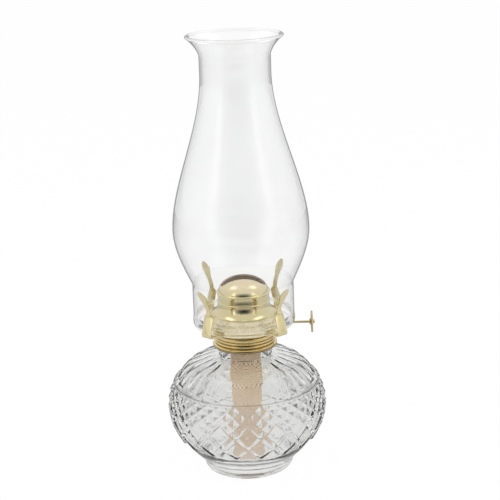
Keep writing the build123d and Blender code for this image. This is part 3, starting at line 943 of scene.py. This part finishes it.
class LAMP_OT_burner(bpy.types.Operator):
    """Builds the dome, the gallery, the prongs and the plain pieces of the burner"""

    bl_idname = "lamp.burner"
    bl_label = "Build burner"

    def execute(self, context):
        settings = context.scene.oil_lamp.burner
        self.dome()
        self.gallery(settings)
        prongs = crowned_prongs(joined_copy("prong_ring"), settings.prong_crown)
        piece("prong_ring_sheet", prongs, "burner", "spring_brass", "prong_ring", smooth=32)
        plain = {
            "burner_cup": "brass", "wick_tube": "tube_brass", "vent_tube": "tube_brass",
            "ratchet_box": "tube_brass", "shaft_bush": "shaft_brass", "air_plate": "tube_brass",
        }
        for node, slot in plain.items():
            piece(node + "_sheet", joined_copy(node), "burner", slot, node, smooth=32)
        piece("screw_thread", joined_copy("screw_shell"), "screw", "brass", "screw_shell", smooth=32)
        return {"FINISHED"}

    def dome(self):
        """Dome with its slot cut, its inside marked as heated and the top of its cap painted a little paler
        as a painted highlight.
        """
        middle = Vector((0, 0, 0.122))
        # Height where the cap's painted highlight starts, how far up it grows to full, and its strength
        cap_foot, cap_rise, cap_painted_highlight = 0.137, 0.004, 0.4
        cutter = linked("slot_cutter", self.slot_block())
        cut = {"object": cutter, "operation": "DIFFERENCE", "solver": "EXACT"}
        mesh = shaped(lathe("dome", dome_outline(), columns=160, closed=True), ("BOOLEAN", cut))
        bpy.data.objects.remove(cutter)
        for vert, mark in zip(mesh.vertices, mesh.attributes["run"].data):
            inside = vert.normal.dot(vert.co - middle) < 0
            # Outside, the top of the cap takes the pale tone: a painted highlight
            mark.value = 1.0 if inside else cap_painted_highlight * min(max(0.0, vert.co.z - cap_foot) / cap_rise, 1.0)
        piece("dome", mesh, "burner", "polished_brass", "dome_deflector", smooth=35)

    def slot_block(self):
        """Block with round corners that cuts the slot for the flame."""
        straight_x, straight_y, corner = 12.0, 2.0, 4.0
        bottom, top = 0.1359, 0.150
        outline = []
        for quarter, (x, y) in enumerate(((1, 1), (-1, 1), (-1, -1), (1, -1))):
            for angle in np.radians(np.linspace(0, 90, 9) + 90 * quarter):
                across = x * straight_x + corner * math.cos(angle)
                outline.append((across * MM, (y * straight_y + corner * math.sin(angle)) * MM))
        work = bmesh.new()
        low = [work.verts.new((x, y, bottom)) for x, y in outline]
        high = [work.verts.new((x, y, top)) for x, y in outline]
        for index in range(len(outline)):
            beside = (index + 1) % len(outline)
            work.faces.new((low[index], low[beside], high[beside], high[index]))
        work.faces.new(low[::-1])
        work.faces.new(high)
        return mesh_of(work, "slot_cutter")

    def gallery(self, settings):
        """Gallery with its embossed scrolls and beads, and the rings on the cup below it."""
        pale, raised = 1.0, 0.7       # how far the sheet and its ornament take the pale finish
        outline = gallery_outline()
        crown = lathe("gallery", outline, columns=160, closed=True, runs=[pale] * len(outline))
        piece("gallery", crown, "burner", "brass", "gallery_crown", smooth=35)
        repeat = {"node_group": ring_tree(), "Material": finish("brass")}
        values = {**repeat, "Count": settings.motifs, "Phase": 0.0}
        mesh = shaped(marked(self.scrolls(), raised), ("NODES", values))
        piece("gallery_scrolls", mesh, "burner", "brass", smooth=70)
        values = {**repeat, "Count": settings.beads, "Phase": 0.5 / settings.beads}
        for label, radius, level, size in (("foot", 26.95, 111.75, 0.36), ("top", 24.5, 117.65, 0.3)):
            work = bmesh.new()
            bmesh.ops.create_uvsphere(work, u_segments=10, v_segments=6, radius=size * MM)
            bmesh.ops.translate(work, verts=work.verts, vec=(radius * MM, 0, level * MM))
            mesh = shaped(marked(mesh_of(work, "bead"), raised), ("NODES", values))
            piece("gallery_beads_" + label, mesh, "burner", "brass", smooth=70)
        wire = 0.55
        for label, radius, level in (("low", 22.35, 105.5), ("high", 23.65, 107.5)):
            ring = ellipse((radius, level), wire, wire, 0, 345, 14)
            mesh = lathe("cup_ring", ring, columns=144, closed=True)
            piece("cup_ring_" + label, mesh, "burner", "brass", smooth=70)

    def scrolls(self):
        """One embossed motif on the gallery's slope: a double scroll between dots, in millimetres."""
        slope_radius, slope_level = 25.72, 114.75
        slope_in, slope_up = 3.0, 7.05
        last_angle, winding = 0.35 * math.pi, 3.1 * math.pi
        eye_across, eye_up = 2.9, 0.2              # middle of each scroll
        inner, growth = 0.25, 1.45                 # radius where a scroll starts, and what it gains
        ridge_radius, dot_flatness = 0.5, 0.6
        # Place across, place up the slope and radius of each dot
        dots = ((0.0, 2.2, 0.7), (0.0, -2.2, 0.7), (-2.9, 0.2, 0.8), (2.9, -0.2, 0.8), (6.4, 0.0, 1.3))
        t = np.linspace(0, 1, 30)
        angle = last_angle - winding * (1 - t)
        radius = inner + growth * t
        arm = np.stack([-eye_across + radius * np.cos(angle), eye_up + radius * np.sin(angle)], axis=1)
        link = np.linspace(arm[-1], -arm[-1], 7)[1:-1]
        work = bmesh.new()
        self.ridge(work, np.concatenate([arm, link, -arm[::-1]]), ridge_radius)
        for across, up, size in dots:
            made = bmesh.ops.create_uvsphere(work, u_segments=12, v_segments=8, radius=size * MM)
            bmesh.ops.scale(work, verts=made["verts"], vec=(dot_flatness, 1.0, 1.0))
            bmesh.ops.translate(work, verts=made["verts"], vec=(0, across * MM, up * MM))
        lean = Matrix.Rotation(-math.atan2(slope_in, slope_up), 4, "Y")
        place = Matrix.Translation((slope_radius * MM, 0, slope_level * MM))
        bmesh.ops.transform(work, matrix=place @ lean, verts=work.verts)
        return mesh_of(work, "scrolls")

    def ridge(self, work, path, radius):
        """Closed round ridge, thin at its ends, along a flat path of tangent and slope, in millimetres."""
        sides, flatness = 8, 0.75
        tip, growth = 0.4, 0.2        # share of the radius at the ends, and what each point gains
        ahead = np.gradient(path, axis=0)
        ahead /= np.linalg.norm(ahead, axis=1)[:, None]
        rings = []
        for index, ((across, up), (da, du)) in enumerate(zip(path, ahead)):
            size = radius * min(1.0, tip + growth * min(index, len(path) - 1 - index))
            ring = []
            for turn in np.arange(sides) / sides * 2 * math.pi:
                out = size * math.cos(turn) * flatness
                side = size * math.sin(turn)
                ring.append(work.verts.new((out * MM, (across - du * side) * MM, (up + da * side) * MM)))
            rings.append(ring)
        for first, second in zip(rings, rings[1:]):
            for index in range(sides):
                beside = (index + 1) % sides
                work.faces.new((first[index], first[beside], second[beside], second[index]))
        work.faces.new(rings[0][::-1])
        work.faces.new(rings[-1])
        bmesh.ops.recalc_face_normals(work, faces=work.faces)


class LAMP_OT_winder(bpy.types.Operator):
    """Builds the shaft, wheels and rivet of the wick raiser"""

    bl_idname = "lamp.winder"
    bl_label = "Build wick raiser"

    def execute(self, context):
        for node in ("wick_shaft", "spur_wheels", "thumb_wheel", "shaft_rivet"):
            piece(node + "_finish", joined_copy(node), "winder", "shaft_brass", node, smooth=32)
        return {"FINISHED"}


class LAMP_OT_wick(bpy.types.Operator):
    """Builds the woven wick"""

    bl_idname = "lamp.wick"
    bl_label = "Build wick"

    def execute(self, context):
        settings = context.scene.oil_lamp.wick
        low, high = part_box("wick")
        half_width = (high.x - low.x) / 2
        half_thick = high.y
        route = self.route(low, high, half_thick)
        steps = np.hypot(*np.diff(route, axis=0).T)
        length = np.concatenate([[0], np.cumsum(steps)])
        tangent = np.gradient(route, axis=0)
        tangent /= np.linalg.norm(tangent, axis=1)[:, None]
        section = self.section(half_width, half_thick, settings)
        verts, uvs, faces = [], [], []
        for (y, z), (ty, tz), along in zip(route, tangent, length):
            for x, out, u in section:
                verts.append((x, y - tz * out, z + ty * out))
                uvs.append((u, along / length[-1]))
        around = len(section)
        for first in range(0, len(verts) - around, around):
            second = first + around
            for column in range(around):
                beside = (column + 1) % around
                faces.append((first + column, first + beside, second + beside, second + column))
        faces.append(list(range(around))[::-1])
        faces.append(list(range(len(verts) - around, len(verts))))
        mesh = bpy.data.meshes.new("wick")
        mesh.from_pydata(verts, [], faces)
        layer = mesh.uv_layers.new(name="weave")
        for loop in mesh.loops:
            layer.data[loop.index].uv = uvs[loop.vertex_index]
        work = bmesh.new()
        work.from_mesh(mesh)
        bmesh.ops.recalc_face_normals(work, faces=work.faces)
        work.to_mesh(mesh)
        work.free()
        strip = piece("wick_strip", mesh, "wick", "wick_cotton", "wick", smooth=60)
        return {"FINISHED"}

    def route(self, low, high, half_thick):
        """Middle line of the wick in Y and Z, from its top down to the floor and along it."""
        bend = 0.008
        lying = low.z + half_thick
        points = [(0.0, z) for z in np.linspace(high.z, lying + bend, 150)]
        for angle in np.radians(np.linspace(0, 90, 16))[1:]:
            points.append((bend * (math.cos(angle) - 1), lying + bend - bend * math.sin(angle)))
        points += [(y, lying) for y in np.linspace(-bend, low.y, 16)[1:]]
        return np.array(points)

    def section(self, half_width, half_thick, settings):
        """Ribbed outline across the wick, as places in X, half thicknesses and shares of the width."""
        count = settings.ribs * 6
        edge_share, edge_least = 0.1, 0.05    # part of the half width that rounds off, and where that stops
        points = []
        for side in (1, -1):
            for index in range(count + 1):
                across = side * (1 - 2 * index / count)
                rib = abs(math.sin(math.pi * settings.ribs * index / count))
                thick = half_thick * min(1.0, math.sqrt(max(edge_least, (1 - abs(across)) / edge_share)))
                out = side * (thick - settings.rib_height * (1 - rib))
                points.append((across * half_width, out, across * 0.5 + 0.5))
        return points


class LAMP_OT_stage(bpy.types.Operator):
    """Builds the floor, the lights and the camera"""

    bl_idname = "lamp.stage"
    bl_label = "Build stage"

    def execute(self, context):
        settings = context.scene.oil_lamp.stage
        scene = context.scene
        self.floor()
        self.world(scene, settings.ambient)
        burner = (0, 0, 0.15)
        self.lamp("key", (-0.9, -0.6, 1.1), burner, 0.9, settings.key)
        self.lamp("fill", (0.95, -0.45, 0.8), burner, 0.8, settings.fill)
        # Name, place, what it faces, width and height, level and the one kind of ray that sees it
        cards = (
            ("front_card", (0.0, -1.5, 0.50), (0.0, 0.0, 0.50), (3.4, 2.3), 0.02, "glossy"),
            ("front_floor", (0.0, -0.6, 0.003), (0.0, -0.6, 1.0), (2.4, 0.9), 0.14, "glossy"),
            ("left_edge", (-0.52, 0.95, 0.62), (0.0, 0.0, 0.62), (0.56, 0.9), 0.6, "transmission"),
            ("right_edge", (0.52, 0.95, 0.62), (0.0, 0.0, 0.62), (0.56, 0.9), 0.55, "transmission"),
            # A darker sheet behind the lamp, seen only through the glass: painted shadow of the lamp on the
            # floor
            ("back_floor", (0.0, 0.20, 0.002), (0.0, 0.20, 1.0), (0.62, 0.5), 0.84, "transmission"),
            ("left_floor", (-0.09, 0.19, 0.003), (-0.09, 0.19, 1.0), (0.13, 0.28), 0.1, "transmission"),
            ("right_floor", (0.09, 0.19, 0.003), (0.09, 0.19, 1.0), (0.13, 0.28), 0.1, "transmission"),
            ("left_softbox", (-0.92, -0.86, 0.75), (0.0, 0.0, 0.75), (0.5, 1.5), 1.7, "glossy"),
            ("right_softbox", (0.92, -0.80, 0.70), (0.0, 0.0, 0.70), (0.45, 1.4), 1.6, "glossy"),
            ("left_top", (-0.75, 0.1, 1.5), (0.0, 0.0, 0.2), (0.8, 0.9), 2.2, "glossy"),
            ("right_top", (0.75, 0.1, 1.5), (0.0, 0.0, 0.2), (0.8, 0.9), 2.2, "glossy"),
        )
        for card in cards:
            self.card(*card)
        self.camera(scene)
        scene.view_settings.view_transform = "Standard"
        return {"FINISHED"}

    def camera(self, scene):
        """Camera at the photograph's place, which looks down and leans a little."""
        tilt, lean = math.radians(90 - 16.46), math.radians(-2.0)
        made = linked("camera", bpy.data.cameras.new("camera"))
        made.data.lens = 94.9
        made.data.sensor_width = 36.0
        made.rotation_euler = (Matrix.Rotation(tilt, 3, "X") @ Matrix.Rotation(lean, 3, "Z")).to_euler()
        made.location = (0.0059, -0.905, 0.432)
        scene.camera = made

    def floor(self):
        """Pale floor that keeps the lamp's shadow, near white to the eye and in glass, darker in brass."""
        half = 8.0
        pale, grey, mottle = (0.93, 0.93, 0.93, 1.0), (0.86, 0.86, 0.86, 1.0), 0.04
        in_brass, to_eye, through_glass = 0.3, 0.95, 0.9
        made, root, surface = self.bare_material("Floor")
        grain = root.coordinates("Object").noise(240.0, 3.0)
        tone = (grain * mottle).mixed(pale, grey)
        mirrored = root.ray("Glossy") * root.ray("Reflection")
        tone = (mirrored * in_brass).mixed(tone, BLACK)
        plain = root.node("ShaderNodeBsdfDiffuse", {"Color": tone})
        seen = root.ray("Camera") * to_eye
        seen = seen.most(root.ray("Transmission") * through_glass)
        glow = root.node("ShaderNodeEmission", {"Color": WHITE, "Strength": 1.0})
        root.feed(root.node("ShaderNodeMixShader", {0: seen, 1: plain, 2: glow}), surface)
        self.flat_object("floor", half, half, made)

    def world(self, scene, ambient):
        """Light from all round: white to the eye, near white through glass and in brass."""
        through_glass, in_brass = 0.93, 0.86
        scene.world = bpy.data.worlds.new("Studio")
        scene.world.use_nodes = True
        tree = scene.world.node_tree
        root = Field(tree)
        level = root.ray("Camera")
        level = level.most(root.ray("Transmission") * through_glass)
        level = level.most(root.ray("Diffuse") * ambient).most(in_brass)
        root.feed(level, tree.nodes["Background"].inputs["Strength"])
        tree.nodes["Background"].inputs["Color"].default_value = WHITE

    def lamp(self, name, place, target, size, power):
        """Round soft light that neither brass nor glass mirrors."""
        data = bpy.data.lights.new(name, "AREA")
        data.shape = "DISK"
        data.size = size
        data.energy = power
        made = linked(name, data)
        made.location = place
        made.visible_glossy = False
        made.visible_transmission = False
        made.rotation_euler = (Vector(target) - Vector(place)).to_track_quat("-Z", "Y").to_euler()

    def card(self, name, place, target, size, level, seen):
        """Soft-edged card for one kind of ray: dark for edges in glass and brass, bright for highlights."""
        made = bpy.data.materials.get("Card") or self.card_material()
        card = self.flat_object(name, size[0] / 2, size[1] / 2, made)
        layer = card.data.uv_layers.new(name="card")
        for loop, corner in enumerate(((0, 0), (1, 0), (1, 1), (0, 1))):
            layer.data[loop].uv = corner
        card.location = place
        card.rotation_euler = (Vector(place) - Vector(target)).to_track_quat("Z", "Y").to_euler()
        card.color = (level, level, level, 1.0)
        for ray in ("camera", "diffuse", "glossy", "transmission", "shadow", "volume_scatter"):
            setattr(card, "visible_" + ray, ray == seen)

    def card_material(self):
        """Glow of the object's own colour that fades out towards the card's edges."""
        made, root, surface = self.bare_material("Card")
        uv = root.coordinates("UV")
        fade = (0.0, 0.9)                 # from the card's edge towards its middle
        mask = uv.axis("X").tent().step(*fade) * uv.axis("Y").tent().step(*fade)
        glow = root.node("ShaderNodeEmission", {"Color": root.node("ShaderNodeObjectInfo", outlet="Color")})
        clear = root.node("ShaderNodeBsdfTransparent")
        root.feed(root.node("ShaderNodeMixShader", {0: mask, 1: clear, 2: glow}), surface)
        return made

    def bare_material(self, name):
        """Material with no shader yet; gives it, a field to build on and its surface socket."""
        made = bpy.data.materials.new(name)
        made.use_nodes = True
        made.node_tree.nodes.clear()
        output = made.node_tree.nodes.new("ShaderNodeOutputMaterial")
        return made, Field(made.node_tree), output.inputs["Surface"]

    def flat_object(self, name, wide, tall, material):
        """Flat square-cornered object with these half sizes."""
        mesh = bpy.data.meshes.new(name)
        corners = [(-wide, -tall, 0), (wide, -tall, 0), (wide, tall, 0), (-wide, tall, 0)]
        mesh.from_pydata(corners, [], [(0, 1, 2, 3)])
        mesh.materials.append(material)
        return linked(name, mesh)


class LAMP_PT_sidebar(bpy.types.Panel):
    """Settings and build buttons of the lamp"""

    bl_idname = "LAMP_PT_sidebar"
    bl_label = "Oil Lamp"
    bl_space_type = "VIEW_3D"
    bl_region_type = "UI"
    bl_category = "Oil Lamp"

    def draw(self, context):
        settings = context.scene.oil_lamp
        for group in (settings.font, settings.burner, settings.wick, settings.finishes, settings.stage):
            box = self.layout.box()
            for label in group.__annotations__:
                box.prop(group, label)
        for operator in OPERATORS:
            self.layout.operator(operator.bl_idname)


OPERATORS = (
    LAMP_OT_font, LAMP_OT_chimney, LAMP_OT_collar, LAMP_OT_burner, LAMP_OT_winder, LAMP_OT_wick,
    LAMP_OT_stage,
)
GROUPS = (FontSettings, BurnerSettings, WickSettings, FinishSettings, StageSettings, LampSettings)
CLASSES = GROUPS + OPERATORS + (LAMP_PT_sidebar,)


def register():
    for item in CLASSES:
        bpy.utils.register_class(item)
    bpy.types.Scene.oil_lamp = bpy.props.PointerProperty(type=LampSettings)


def unregister():
    del bpy.types.Scene.oil_lamp
    for item in reversed(CLASSES):
        bpy.utils.unregister_class(item)


def main():
    register()
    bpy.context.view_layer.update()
    for operator in OPERATORS:
        group, name = operator.bl_idname.split(".")
        getattr(getattr(bpy.ops, group), name)()


if __name__ == "__main__":
    main()
